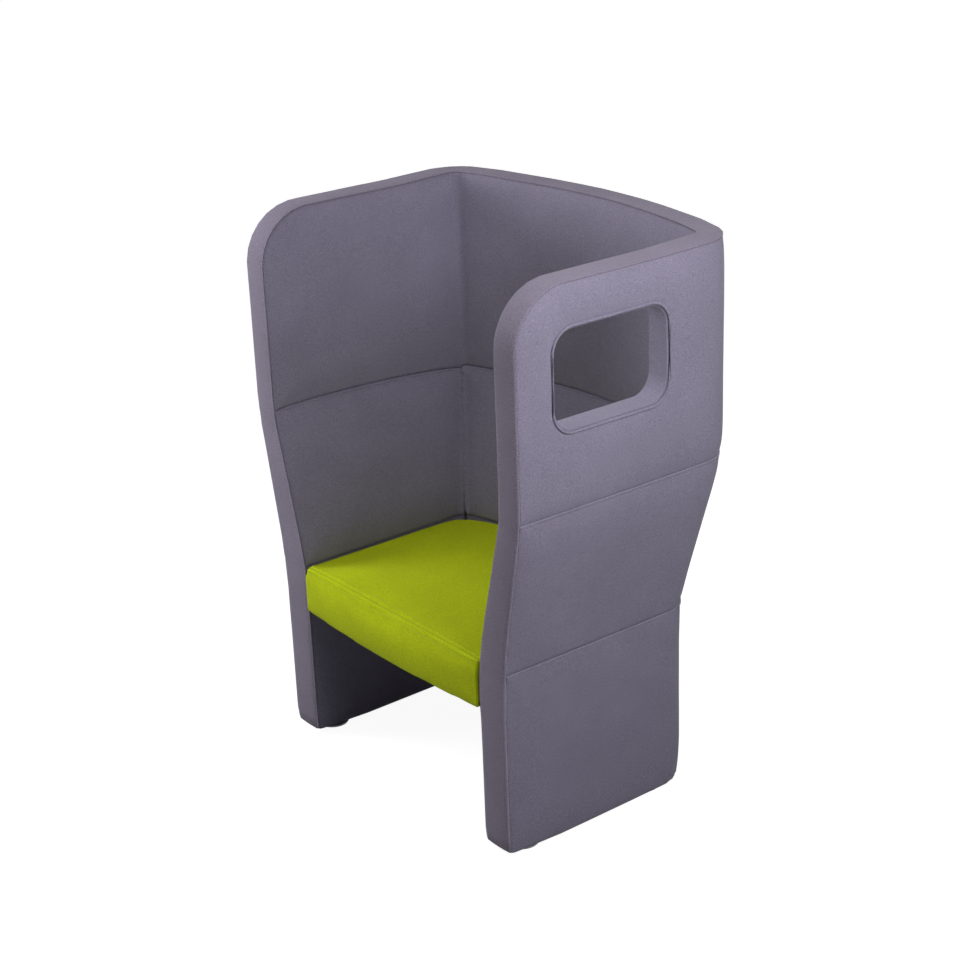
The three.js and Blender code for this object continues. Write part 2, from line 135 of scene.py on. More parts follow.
bpy.ops.mesh.primitive_plane_add(size=90, location=(0, 0, 0))
floor = bpy.context.object
floor.name = "studio_floor"
floor_paint = bpy.data.materials.new("white studio floor")
floor_paint.use_nodes = True
tree = floor_paint.node_tree
tree.nodes.clear()
ray = add_node(tree, "ShaderNodeLightPath")
seen = add_node(tree, "ShaderNodeMath", {"operation": "ADD", "use_clamp": True},
                i0=ray.outputs["Is Camera Ray"], i1=ray.outputs["Is Glossy Ray"])
mottle = add_node(tree, "ShaderNodeTexNoise", Scale=3.0, Detail=2.0)
tone = add_node(tree, "ShaderNodeMix", {"data_type": "RGBA"}, i0=mottle.outputs[0],
                i6=(0.30, 0.30, 0.30, 1), i7=(0.33, 0.33, 0.33, 1))
matt = add_node(tree, "ShaderNodeBsdfDiffuse", Color=tone.outputs[2])
place = add_node(tree, "ShaderNodeTexCoord")
far = add_node(tree, "ShaderNodeVectorMath", {"operation": "LENGTH"}, i0=place.outputs["Object"])
sweep = add_node(tree, "ShaderNodeMapRange", Value=far.outputs["Value"], i1=1.0, i2=2.6, i3=0.93, i4=1.0)
glow = add_node(tree, "ShaderNodeEmission", Color=(1, 1, 1, 1), Strength=sweep.outputs[0])
lit = add_node(tree, "ShaderNodeAddShader", i0=matt.outputs[0], i1=glow.outputs[0])
both = add_node(tree, "ShaderNodeMixShader", i0=seen.outputs[0], i1=matt.outputs[0], i2=lit.outputs[0])
add_node(tree, "ShaderNodeOutputMaterial", Surface=both.outputs[0])
floor.data.materials.append(floor_paint)

# The core boards: the shell's bent plywood, which carries all the upholstery and shows only from below.
# They stay as the solid model has them, with beech veneers in layers across their thickness.


def new_finish(name):
    """A new material with its node tree, its shader and the place of each point on the piece."""
    finish = bpy.data.materials.new(name)
    finish.use_nodes = True
    tree = finish.node_tree
    place = add_node(tree, "ShaderNodeTexCoord")
    return finish, tree, tree.nodes["Principled BSDF"], place.outputs["Object"]


def join_up(tree, shader, colour, roughness=None, bump=None):
    """Colour, roughness and bump of a finish go to its shader."""
    tree.links.new(colour, shader.inputs["Base Color"])
    if isinstance(roughness, bpy.types.NodeSocket):
        tree.links.new(roughness, shader.inputs["Roughness"])
    elif roughness is not None:
        shader.inputs["Roughness"].default_value = roughness
    if bump is not None:
        tree.links.new(bump.outputs[0], shader.inputs["Normal"])


def board_finish(name, across):
    """Plywood whose veneers lie across one axis, with long grain and a little filler between the layers."""
    finish, tree, shader, spot = new_finish(name)
    layers = add_node(tree, "ShaderNodeTexWave", {"bands_direction": across}, Vector=spot, Scale=105.0,
                      Distortion=0.6, Detail=2.0)
    stretch = add_node(tree, "ShaderNodeMapping", Vector=spot, Scale=(40.0, 40.0, 3.0))
    grain = add_node(tree, "ShaderNodeTexNoise", Vector=stretch.outputs[0], Scale=9.0, Detail=6.0)
    veneer = add_node(tree, "ShaderNodeMix", {"data_type": "RGBA"}, i0=layers.outputs["Fac"],
                      i6=(0.34, 0.20, 0.105, 1), i7=(0.60, 0.42, 0.25, 1))
    wood = add_node(tree, "ShaderNodeMix", {"data_type": "RGBA", "blend_type": "MULTIPLY"}, i0=0.45,
                    i6=veneer.outputs[2], i7=grain.outputs["Color"])
    bump = add_node(tree, "ShaderNodeBump", Strength=0.35, Distance=0.0006, Height=grain.outputs[0])
    join_up(tree, shader, wood.outputs[2], 0.62, bump)
    return finish


def dress(cad_name, finish):
    """A CAD node that is seen as it is takes a finish of its own."""
    slots = frame["nodes"][cad_name].material_slots
    for place in slots:
        place.material = finish


side_plywood = board_finish("beech plywood of the sides", "X")
back_plywood = board_finish("beech plywood of the back", "Y")
for side in ("left", "right"):
    dress(side + "_core_board", side_plywood)
dress("back_core_board", back_plywood)

# The outer upholstery: three tiers of grey-violet wool cloth over thin foam, on both sides and the back.
# Each panel is cut from the solid's outline, stretched and filled, and rolls over into its seams.
shell_half = (0.407, 0.474)
shell_back = (0.266, 0.351)
flare_span = (0.439, 0.789)
corner_round = 0.100
back_bow = 1.150
knees = ((0.25, 0.100), (-0.21, 0.050))
belly_rise = 0.0015
belly_span = (-0.329, 0.215)
bottom_round = 0.013
row_scale = 0.444


def wool_finish(name, deep, pale, rows=1.7, sheen=0.12, rough=0.9):
    """Twill cloth: diagonal rows crossed by finer threads, flecked yarn, soft fade and a dusty sheen.

    The rows' distance is in millimetres.
    """
    finish, tree, shader, spot = new_finish(name)
    wander = add_node(tree, "ShaderNodeTexNoise", Vector=spot, Scale=420.0, Detail=2.0)
    twill = add_node(tree, "ShaderNodeTexWave", {"bands_direction": "DIAGONAL"}, Vector=spot,
                     Scale=row_scale / (rows * 0.001), Distortion=1.6, Detail=1.0, Detail_Scale=1.5)
    flip = add_node(tree, "ShaderNodeMapping", Vector=spot, Scale=(1.0, 1.0, -1.0))
    cross = add_node(tree, "ShaderNodeTexWave", {"bands_direction": "DIAGONAL"}, Vector=flip.outputs[0],
                     Scale=row_scale / (rows * 0.00062), Distortion=2.2, Detail=1.0, Detail_Scale=2.0)
    weave = add_node(tree, "ShaderNodeMath", {"operation": "MULTIPLY_ADD"}, i0=cross.outputs["Fac"], i1=0.4,
                     i2=twill.outputs["Fac"])
    cloth = add_node(tree, "ShaderNodeMath", {"operation": "MULTIPLY_ADD"}, i0=wander.outputs[0], i1=2.2,
                     i2=weave.outputs[0])
    share = add_node(tree, "ShaderNodeMapRange", Value=cloth.outputs[0], i1=0.95, i2=2.55, i3=0.0, i4=1.0)
    yarn = add_node(tree, "ShaderNodeMix", {"data_type": "RGBA"}, i0=share.outputs[0],
                    i6=(*deep, 1), i7=(*pale, 1))
    patches = add_node(tree, "ShaderNodeTexNoise", Vector=spot, Scale=7.0, Detail=4.0, Roughness=0.6)
    fade = add_node(tree, "ShaderNodeMapRange", Value=patches.outputs[0], i1=0.3, i2=0.7, i3=0.93, i4=1.06)
    worn = add_node(tree, "ShaderNodeVectorMath", {"operation": "SCALE"}, i0=yarn.outputs[2],
                    Scale=fade.outputs[0])
    soft = add_node(tree, "ShaderNodeMapRange", Value=patches.outputs[0], i3=rough - 0.05, i4=rough + 0.05)
    shader.inputs["Sheen Weight"].default_value = sheen
    shader.inputs["Sheen Roughness"].default_value = 0.5
    shader.inputs["Specular IOR Level"].default_value = 0.2
    bump = add_node(tree, "ShaderNodeBump", Strength=0.55, Distance=0.0005, Height=cloth.outputs[0])
    join_up(tree, shader, worn.outputs[0], soft.outputs[0], bump)
    return finish


shell_wool = wool_finish("grey violet shell wool", (0.150, 0.135, 0.195), (0.380, 0.350, 0.475))


def start_alone(piece):
    """Only this piece is selected and active."""
    bpy.ops.object.select_all(action="DESELECT")
    piece.select_set(True)
    bpy.context.view_layer.objects.active = piece


def skin_of(cad_name, name):
    """A mesh of its own from a CAD node, with its loose triangles sewn into one closed skin."""
    piece = frame["nodes"][cad_name].copy()
    piece.data = piece.data.copy()
    piece.name = name
    piece.parent = None
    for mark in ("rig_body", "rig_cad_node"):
        del piece[mark]
    scene.collection.objects.link(piece)
    piece.data.materials.clear()
    start_alone(piece)
    bpy.ops.object.mode_set(mode="EDIT")
    bpy.ops.mesh.select_all(action="SELECT")
    bpy.ops.mesh.customdata_custom_splitnormals_clear()
    bpy.ops.mesh.remove_doubles(threshold=0.00002)
    bpy.ops.mesh.dissolve_limited(angle_limit=math.radians(0.4))
    bpy.ops.mesh.select_all(action="DESELECT")
    bpy.ops.object.mode_set(mode="OBJECT")
    return piece


def points_of(piece):
    found = np.empty(len(piece.data.vertices) * 3)
    piece.data.vertices.foreach_get("co", found)
    return found.reshape(-1, 3)


def normals_of(piece):
    found = np.empty(len(piece.data.vertices) * 3)
    piece.data.vertex_normals.foreach_get("vector", found)
    return found.reshape(-1, 3)


def put_points(piece, where):
    piece.data.vertices.foreach_set("co", where.ravel())
    piece.data.update()


def remesh(piece, voxel, rounds):
    """An even net of small squares all over the piece, with its edges eased."""
    start_alone(piece)
    net = piece.modifiers.new("even net", "REMESH")
    net.mode = "VOXEL"
    net.voxel_size = voxel
    bpy.ops.object.modifier_apply(modifier=net.name)
    ease = piece.modifiers.new("eased edges", "SMOOTH")
    ease.factor = 0.5
    ease.iterations = rounds
    bpy.ops.object.modifier_apply(modifier=ease.name)


edge_facing = (0.2, 0.85)
face_facing = 0.6
pull_depth = 0.00035
pull_reach = 0.022
pull_scale = 55.0
slack_depth = 0.0007
slack_reach = 0.05
slack_scale = 9.0


def pad_out(piece, outward, rise, sink, reach):
    """The cover dips into its seams, swells between them over the foam, and pulls a little at the stitches."""
    where = points_of(piece)
    way = outward(piece.name, where)
    facing = (normals_of(piece) * way).sum(1)
    edge_points = np.nonzero((facing > edge_facing[0]) & (facing < edge_facing[1]))[0]
    near_edge = KDTree(len(edge_points))
    for index in edge_points:
        near_edge.insert(where[index], int(index))
    near_edge.balance()
    lift = np.zeros(len(where))
    for index in np.nonzero(facing > face_facing)[0]:
        spot = Vector(where[index])
        gap = near_edge.find(spot)[2]
        pull = pull_depth * math.exp(-gap / pull_reach) * noise.noise(spot * pull_scale)
        slack = slack_depth * (1 - math.exp(-gap / slack_reach)) * noise.noise(spot * slack_scale)
        lift[index] = rise * (1 - math.exp(-gap / reach)) - sink + pull + slack
    put_points(piece, where + way * lift[:, None])
    start_alone(piece)
    bpy.ops.object.shade_smooth()


def soften_knees(piece, outward, sign):
    """The cloth bridges the two bends of the wall softly, so each bend becomes a long curve."""
    where = points_of(piece)
    shift = np.zeros(len(where))
    for bend, (slope, reach) in zip(flare_span, knees):
        near = np.clip(reach - np.abs(where[:, 2] - bend), 0, None)
        shift += slope * near * near / (4 * reach)
    put_points(piece, where + outward(piece.name, where) * (sign * shift)[:, None])


def between(pair, height):
    """A wall size at a height: the leg's below the flare, the hood's above it, and a blend between."""
    share = (height - flare_span[0]) / (flare_span[1] - flare_span[0])
    value = pair[0] + (pair[1] - pair[0]) * min(max(share, 0.0), 1.0)
    for bend, (slope, reach) in zip(flare_span, knees):
        near = max(reach - abs(height - bend), 0.0)
        value += slope * near * near / (4 * reach) * (1 if pair[1] > pair[0] else 0)
    return value


def belly(y):
    """How far the padding of a side wall stands out at a place along it, most in the middle of the wall."""
    share = (2 * y - belly_span[0] - belly_span[1]) / (belly_span[1] - belly_span[0])
    return belly_rise * np.maximum(1 - share * share, 0)


def swell_sides(piece):
    """Each outer side panel bows out a little over its foam."""
    where = points_of(piece)
    sideways = np.array([[1.0, 0.0, 0.0]])
    put_points(piece, where + np.sign(where[:, :1]) * belly(where[:, 1:2]) * sideways)


front_y = -0.329
foot_z = 0.005
inner_half = (0.321, 0.410)
inner_back = (0.186, 0.296)
inner_bow = (1.070, 1.095)
seat_shadow = (0.300, 0.345)
leg_corner = 0.007
toe_reach = 0.040
front_rise = 0.0065
front_rise_reach = 0.150
front_rise_height = 0.060


def round_corner(behind_one, behind_other, reach):
    """How far to draw points in from two faces, so that the square corner between them becomes round."""
    one = np.clip(1 - behind_one / reach, 0, None)
    other = np.clip(1 - behind_other / reach, 0, None)
    spare = 1 - np.maximum(one, other) / np.maximum(np.hypot(one, other), 1e-9)
    return spare * one * reach, spare * other * reach


def bottom_ease(height):
    """How far a face draws in near the bottom of the wall, where the cloth wraps round under it."""
    low = np.clip(foot_z + bottom_round - height, 0, bottom_round)
    return bottom_round - np.sqrt(bottom_round ** 2 - low ** 2)


corner_lift = 0.0050
corner_lift_place = (0.385, 0.110)
lift_fade_z = (1.05, 0.2)
lift_fade_y = (0.05, 0.15)


def ease_shell(where):
    """The rim's rear corners stand up a little, the legs are rounded, and their front ends are raised."""
    shaped = where.copy()
    high = np.clip((where[:, 2] - lift_fade_z[0]) / lift_fade_z[1], 0, 1)
    high *= np.clip((where[:, 1] - lift_fade_y[0]) / lift_fade_y[1], 0, 1)
    off_corner = (np.abs(where[:, 0]) - corner_lift_place[0]) / corner_lift_place[1]
    shaped[:, 2] += corner_lift * high * np.exp(-off_corner ** 2)
    toe = np.clip(1 - (where[:, 1] - front_y) / toe_reach, 0, 1)
    shaped[:, 1] += bottom_ease(where[:, 2]) * toe
    near_front = np.clip(1 - (where[:, 1] - front_y) / front_rise_reach, 0, 1)
    near_floor = np.clip(1 - (where[:, 2] - foot_z) / front_rise_height, 0, 1)
    shaped[:, 2] += front_rise * near_front * near_floor
    below = np.clip((seat_shadow[1] - where[:, 2]) / (seat_shadow[1] - seat_shadow[0]), 0, 1)
    back, out = round_corner(shaped[:, 1] - front_y, np.abs(where[:, 0]) - inner_half[0],
                             np.maximum(leg_corner * below, 1e-4))
    shaped[:, 1] += back
    shaped[:, 0] += np.sign(where[:, 0]) * out
    return shaped


underside_top = 0.085


def round_underside(piece, outward):
    """The cloth wraps under the wall, so a bottom panel's lower edge is rounded before it is covered."""
    start_alone(piece)
    bpy.ops.object.mode_set(mode="EDIT")
    bpy.ops.mesh.select_mode(type="EDGE")
    bpy.ops.mesh.select_all(action="DESELECT")
    bpy.ops.mesh.edges_select_sharp(sharpness=math.radians(40))
    bpy.ops.object.mode_set(mode="OBJECT")
    where = points_of(piece)
    facing = (normals_of(piece) * outward(piece.name, where)).sum(1)
    weight = piece.data.attributes.new("bevel_weight_edge", "FLOAT", "EDGE")
    for edge in piece.data.edges:
        low = all(where[end][2] < underside_top and facing[end] > 0.3 for end in edge.vertices)
        weight.data[edge.index].value = 1.0 if edge.select and low else 0.0
    corner = piece.modifiers.new("wrapped edge", "BEVEL")
    corner.limit_method = "WEIGHT"
    corner.width = bottom_round
    corner.segments = 4
    bpy.ops.object.modifier_apply(modifier=corner.name)


corner_centre = (0.307, 0.165)


def outer_way(name, where):
    """Which way is out, for points of the outer panels: off the sides, off the corners, off the back."""
    reach_x = np.sign(where[:, 0]) * np.maximum(np.abs(where[:, 0]) - corner_centre[0], 0)
    reach_y = np.maximum(where[:, 1] - corner_centre[1], 0)
    way = np.stack([reach_x, reach_y, np.zeros(len(where))], axis=1)
    return way / np.maximum(np.linalg.norm(way, axis=1), 1e-9)[:, None]


panel_net = 0.0045
tiers = ("lower", "middle", "upper")
places = ("left", "right", "back")
outer_panels = []
for place in places:
    for tier in tiers:
        panel = skin_of(place + "_outer_pad_" + tier, place + "_outer_panel_" + tier)
        if tier == "lower":
            round_underside(panel, outer_way)
        remesh(panel, panel_net, rounds=1)
        soften_knees(panel, outer_way, 1.0)
        if place != "back":
            swell_sides(panel)
        pad_out(panel, outer_way, rise=0.0058, sink=0.0020, reach=0.030)
        put_points(panel, ease_shell(points_of(panel)))
        outer_panels.append(panel)


def upholster(piece, cad_name):
    """A filled cover in the shell's cloth stands for its CAD pad and rides on the chair."""
    piece.data.materials.clear()
    piece.data.materials.append(shell_wool)
    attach(piece, "chair_frame")
    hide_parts(cad_name)


for panel in outer_panels:
    upholster(panel, panel.name.replace("_panel_", "_pad_"))

# The inner upholstery: the same cloth in the same three tiers, facing the sitter, over softer foam.
# The panels meet in the two upright corners, and the lower ones are pressed back where the seat sits.


def inner_way(name, where):
    """Towards the sitter: straight across from a side, and forwards from the back."""
    way = np.zeros((len(where), 3))
    if name.startswith("back"):
        way[:, 1] = -1
    else:
        way[:, 0] = -np.sign(where[:, 0])
    return way


corner_valley = 0.020
seat_room = 0.005
sway_rise = 0.0195
sway_fall = 0.026
sway_run = 0.54
sway_start = 0.036
sway_bend = 0.05
sway_reach = 0.09


def wall_back(x, height):
    """Where the inner face of the back lies, at a place across it and a height."""
    bow = between(inner_bow, height)
    return between(inner_back, height) - bow + math.sqrt(bow * bow - x * x)


def seam_sway(y):
    """The upper seam of the inner walls is drawn up along the wall and dips into the corner."""
    share = min(max((y - front_y) / sway_run, 0.0), 1.0)
    return sway_rise * (1 - math.exp(-(share + sway_start) / sway_bend)) - sway_fall * share ** 3


def shape_inner(piece):
    """The corner valleys are eased, and the side panels follow the sway of their upper seam.

    The lower panels give way to the seat above its underside.
    """
    where = points_of(piece)
    for index, (x, y, z) in enumerate(where):
        back, out = round_corner(wall_back(x, z) - y, between(inner_half, z) - abs(x), corner_valley)
        if not piece.name.startswith("back"):
            where[index, 2] += seam_sway(y) * max(1 - abs(z - flare_span[1]) / sway_reach, 0.0)
        where[index, 0] -= math.copysign(out, x)
        where[index, 1] -= back
    if piece.name.endswith("lower"):
        pressed = np.clip((where[:, 2] - seat_shadow[1]) / (seat_shadow[1] - seat_shadow[0]), 0, 1)
        where -= inner_way(piece.name, where) * (seat_room * pressed)[:, None]
    put_points(piece, ease_shell(where))


inner_panels = []
for place in places:
    for tier in tiers:
        panel = skin_of(place + "_inner_pad_" + tier, place + "_inner_panel_" + tier)
        if tier == "lower":
            round_underside(panel, inner_way)
        remesh(panel, panel_net, rounds=1)
        soften_knees(panel, inner_way, -1.0)
        pad_out(panel, inner_way, rise=0.0115, sink=0.0020, reach=0.042)
        shape_inner(panel)
        inner_panels.append(panel)
for panel in inner_panels:
    upholster(panel, panel.name.replace("_panel_", "_pad_"))

# The edge bands: one cloth strip over a foam nosing, up the front of each wall, round its top corner and
# along the rim. It is crowned, and its two long edges are sewn to the panels at the corners of the wall.
top_z = 1.265
nose_round = 0.130
inner_corner = 0.030
nose_crown = 0.0022
nose_corner = 0.0016
nose_tuck = 0.012
nose_tuck_inset = 0.0045
ring_steps = 36
side_steps = 24
corner_steps = 12
back_steps = 16
front_steps = 60
turn_steps = 20
bend_steps = (-0.004, -0.0015, 0.0, 0.0015, 0.004)
toe_steps = (0.06, 0.18, 0.36, 0.60)


def shell_line(height, face, proud, start_y):
    """The shell's outline at a height, from the right wall's front round the back to the left one's."""
    if face == "outer":
        half = between(shell_half, height) + proud
        back = between(shell_back, height) + proud
        corner, bow = corner_round + proud, back_bow + proud
    else:
        half = between(inner_half, height) - proud
        back = between(inner_back, height) - proud
        corner, bow = inner_corner, between(inner_bow, height) - proud
    centre_y = back - bow
    corner_x = half - corner
    corner_y = centre_y + math.sqrt((bow - corner) ** 2 - corner_x ** 2)
    meet = math.atan2(corner_y - centre_y, corner_x)
    line = []
    for step in range(side_steps):
        y = start_y + (corner_y - start_y) * step / side_steps
        line.append((half + (belly(y) if face == "outer" else 0.0), y))
    for step in range(corner_steps):
        angle = meet * step / corner_steps
        line.append((corner_x + corner * math.cos(angle), corner_y + corner * math.sin(angle)))
    sweep = [meet + (math.pi / 2 - meet) * step / back_steps for step in range(back_steps + 1)]
    line += [(bow * math.cos(angle), centre_y + bow * math.sin(angle)) for angle in sweep]
    line += [(-x, y) for x, y in reversed(line[:-1])]
    return [Vector((x, y, height)) for x, y in line]


def front_line(face, inset, proud):
    """On one face, up the front of one wall, round its top corner, along the rim and down the other wall."""
    pair = shell_half if face == "outer" else inner_half
    sign = 1 if face == "outer" else -1
    heights = [foot_z + (nose_centre[1] - foot_z) * step / front_steps for step in range(front_steps)]
    heights += [bend + step for bend in flare_span for step in bend_steps]
    heights += [foot_z + bottom_round * part for part in toe_steps]
    side = [Vector((between(pair, z) + sign * (proud - bottom_ease(z)), front_y + inset, z))
            for z in sorted(heights)]
    half = pair[1] + sign * proud
    radius = nose_round - inset
    for step in range(turn_steps):
        angle = math.pi / 2 * step / turn_steps
        side.append(Vector((half, nose_centre[0] - radius * math.cos(angle),
                            nose_centre[1] + radius * math.sin(angle))))
    rim = shell_line(top_z - inset, face, proud, nose_centre[0])
    return side + rim + [Vector((-p.x, p.y, p.z)) for p in reversed(side)]


nose_centre = (front_y + nose_round, top_z - nose_round)
outer_edge = front_line("outer", 0.0, 0.0)
inner_edge = front_line("inner", 0.0, 0.0)


def nose_out(spot):
    """Out of the band: forwards on the front, up on the rim, and radially round the top corner."""
    y, z = spot.y - nose_centre[0], spot.z - nose_centre[1]
    if z <= 0:
        return Vector((0, -1, 0))
    return Vector((0, 0, 1)) if y >= 0 else Vector((0, y, z)).normalized()


def ring_place(share, half_width, ease):
    """One point of the band's section: how far it lies from the middle, and how deep below the face."""
    angle = 2 * math.pi * share
    across = max(min(1.35 * math.cos(angle), 1.0), -1.0)
    face_width = half_width - ease
    corner = nose_corner if across > 0 else nose_corner * 0.5
    if math.sin(angle) < 0:
        return across * (face_width - nose_tuck_inset), nose_tuck
    depth = ease
    edge = max(abs(across) * face_width - (face_width - corner), 0.0)
    depth += corner - math.sqrt(max(corner ** 2 - edge ** 2, 0.0))
    return across * face_width, depth - nose_crown * (1 - across * across)


band_dip = 0.0009
band_dip_reach = 0.0022
# Each ripple has its height and its scale.
broad_ripple = (0.0005, 14.0)
fine_ripple = (0.00025, 60.0)
ripple_depth = 0.002
bpy.ops.object.select_all(action="DESELECT")
bpy.ops.mesh.primitive_cylinder_add(vertices=ring_steps, radius=1, depth=1, location=(0, 0, 0))
nosing = bpy.context.object
nosing.name = "shell_nosing"
start_alone(nosing)
bpy.ops.object.mode_set(mode="EDIT")
bpy.ops.mesh.select_mode(type="EDGE")
bpy.ops.mesh.select_all(action="DESELECT")
bpy.ops.object.mode_set(mode="OBJECT")
for edge in nosing.data.edges:
    ends = [nosing.data.vertices[end].co for end in edge.vertices]
    edge.select = abs(ends[0].z - ends[1].z) > 0.9
bpy.ops.object.mode_set(mode="EDIT")
bpy.ops.mesh.subdivide(number_cuts=len(outer_edge) - 2)
bpy.ops.object.mode_set(mode="OBJECT")
where = points_of(nosing)
for index, (x, y, z) in enumerate(where):
    station = round((z + 0.5) * (len(outer_edge) - 1))
    out, into = outer_edge[station], inner_edge[station]
    ease = 0.0
    if out.z < 1.0:
        ease = band_dip * sum(math.exp(-((out.z - bend) / band_dip_reach) ** 2) for bend in flare_span)
    middle = (out + into) / 2
    share = math.atan2(y, x) / (2 * math.pi) % 1.0
    across, depth = ring_place(share, (out - into).length / 2, ease)
    spot = middle + (out - into).normalized() * across
    ripple = sum(height * noise.noise(spot * scale) for height, scale in (broad_ripple, fine_ripple))
    where[index] = spot + nose_out(middle) * (ripple * (depth < ripple_depth) - depth)
put_points(nosing, ease_shell(where))
start_alone(nosing)
bpy.ops.object.mode_set(mode="EDIT")
bpy.ops.mesh.select_all(action="SELECT")
bpy.ops.mesh.normals_make_consistent(inside=False)
bpy.ops.object.mode_set(mode="OBJECT")
bpy.ops.object.shade_smooth()
band_wool = wool_finish("violet grey band wool", (0.140, 0.120, 0.170), (0.353, 0.311, 0.413))
nosing.data.materials.append(band_wool)
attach(nosing, "chair_frame")
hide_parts("back_edge_band",
            *[side + "_edge_band_" + tier for side in ("left", "right") for tier in tiers])

# The seams: the panels are sewn edge to edge, and the stitches are separate short lengths of thread.
# A tier seam has a low ridge of turned-in cloth beside its join, felled under a row of pale topstitching.
# A front seam has no ridge, only near-black stitches in the join of band and panel; their darkness is painted
# shade of the join.
ridge_radius = 0.0028
stitch_inset = 0.0074
thread_radius = 0.00045
stitch_length = 0.0042
stitch_pitch = 0.0058
seam_depth = 0.003
seam_end = 0.0012


def path_of(points, name):
    """An open line through the points, to lay cord or thread along."""
    bpy.ops.curve.primitive_nurbs_path_add()
    path = bpy.context.object
    path.name = name
    path.data.splines.clear()
    run = path.data.splines.new("POLY")
    run.points.add(len(points) - 1)
    for spot, point in zip(run.points, points):
        spot.co = (*point, 1.0)
    path.data.dimensions = "3D"
    path.data.twist_mode = "Z_UP"
    return path


def tube_of(points, name, radius, sides=3):
    """A round cord along the points, as a mesh."""
    path = path_of(points, name)
    path.data.bevel_depth = radius
    path.data.bevel_resolution = sides
    path.data.use_fill_caps = True
    start_alone(path)
    bpy.ops.object.convert(target="MESH")
    tube = bpy.context.object
    start_alone(tube)
    bpy.ops.object.shade_smooth()
    return tube


def stitches_along(points, name):
    """One short length of thread is made and repeated along the line."""
    path = path_of(points, name + "_line")
    bpy.ops.mesh.primitive_cylinder_add(vertices=6, radius=thread_radius, depth=stitch_length,
                                        rotation=(0, math.pi / 2, 0), location=(stitch_length / 2, 0, 0))
    thread = bpy.context.object
    thread.name = name
    start_alone(thread)
    bpy.ops.object.transform_apply(location=True, rotation=True, scale=True)
    bpy.ops.object.mode_set(mode="EDIT")
    bpy.ops.mesh.select_mode(type="FACE")
    bpy.ops.mesh.select_all(action="DESELECT")
    bpy.ops.object.mode_set(mode="OBJECT")
    for face in thread.data.polygons:
        face.select = abs(face.normal.x) > 0.9
    bpy.ops.object.mode_set(mode="EDIT")
    bpy.ops.mesh.bevel(offset=thread_radius * 0.6, segments=1, affect="EDGES")
    bpy.ops.object.mode_set(mode="OBJECT")
    row = thread.modifiers.new("row", "ARRAY")
    row.fit_type = "FIT_CURVE"
    row.curve = path
    row.use_relative_offset = False
    row.use_constant_offset = True
    row.constant_offset_displace = (stitch_pitch, 0, 0)
    lay = thread.modifiers.new("laid along the seam", "CURVE")
    lay.object = path
    bpy.ops.object.modifier_apply(modifier=row.name)
    bpy.ops.object.modifier_apply(modifier=lay.name)
    bpy.ops.object.shade_smooth()
    bpy.data.objects.remove(path)
    return thread


def thread_of(name, deep, pale):
    """Twisted sewing thread, its strands shaded from a deep tone to a pale one."""
    finish, tree, shader, spot = new_finish(name)
    twist = add_node(tree, "ShaderNodeTexWave", {"bands_direction": "DIAGONAL"}, Vector=spot, Scale=900.0)
    strand = add_node(tree, "ShaderNodeMix", {"data_type": "RGBA"}, i0=twist.outputs["Fac"],
                      i6=(*deep, 1), i7=(*pale, 1))
    bump = add_node(tree, "ShaderNodeBump", Strength=0.4, Distance=0.0002, Height=twist.outputs["Fac"])
    join_up(tree, shader, strand.outputs[2], 0.6, bump)
    return finish


thread_finish = thread_of("pale violet sewing thread", (0.24, 0.22, 0.28), (0.42, 0.40, 0.47))
# The front seams' thread is near black: its colour is painted shade of the join between band and panel.
painted_join_shade_thread = thread_of("dark violet sewing thread", (0.030, 0.027, 0.038), (0.062, 0.056, 0.076))
join_stitch = 0.0008
join_lift = -0.0006


def front_seam(face):
    """The long seam beside the band on one face, as a line at any distance in from the band's edge."""
    return lambda inset, proud: front_line(face, seam_depth + inset, proud)


def tier_line(face, height, inset, proud):
    """Along a tier seam at a distance below its join; the inner walls' upper seam sways."""
    line = shell_line(height - inset, face, proud, front_y + seam_depth + seam_end)
    if (face, height) == ("inner", flare_span[1]):
        for spot in line:
            if abs(spot.x) > between(inner_half, height) - corner_valley:
                spot.z += seam_sway(spot.y)
    return line


def tier_seam(face, height):
    """The seam between two tiers on one face, as a line at any distance below its join."""
    return lambda inset, proud: tier_line(face, height, inset, proud)


def sew(name, line, ridge_place, ridge_lift, stitch_place=stitch_inset, finish=thread_finish):
    """One seam: its ridge, where it has one, and its row of stitches."""
    sewn = []
    if ridge_place is not None:
        ridge = tube_of(line(ridge_place, ridge_lift - ridge_radius), name + "_ridge", ridge_radius)
        ridge.data.materials.append(shell_wool)
        sewn.append(ridge)
    thread = stitches_along(line(stitch_place, ridge_lift + thread_radius * 0.2), name + "_stitches")
    thread.data.materials.append(finish)
    for piece in sewn + [thread]:
        put_points(piece, ease_shell(points_of(piece)))
        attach(piece, "chair_frame")


# The front seams' stitches use the near-black thread, which paints the join's shade along band and panel.
for face in ("outer", "inner"):
    sew(face + "_front_seam", front_seam(face), None, join_lift, join_stitch, painted_join_shade_thread)
sew("outer_lower_seam", tier_seam("outer", flare_span[0]), ridge_place=0.0036, ridge_lift=-0.0004)
sew("outer_upper_seam", tier_seam("outer", flare_span[1]), ridge_place=0.0010, ridge_lift=0.0004)
sew("inner_upper_seam", tier_seam("inner", flare_span[1]), ridge_place=0.0036, ridge_lift=-0.0002)

# The window: its reveal is lined with the shell's cloth over thin board, and piped with a fine cord at both
# faces. The lining has rolled edges, and each cord is a closed loop laid in the join of lining and panel.
window_y = (-0.235, 0.073)
window_z = (0.955, 1.172)
window_round = 0.052
cord_radius = 0.0029
lining_reach = 0.0025
inner_splay = 0.0065
splay_reach = 0.120
splay_fade = (0.125, 0.030)
wall_core_x = 0.45
piping_inset = -0.0010


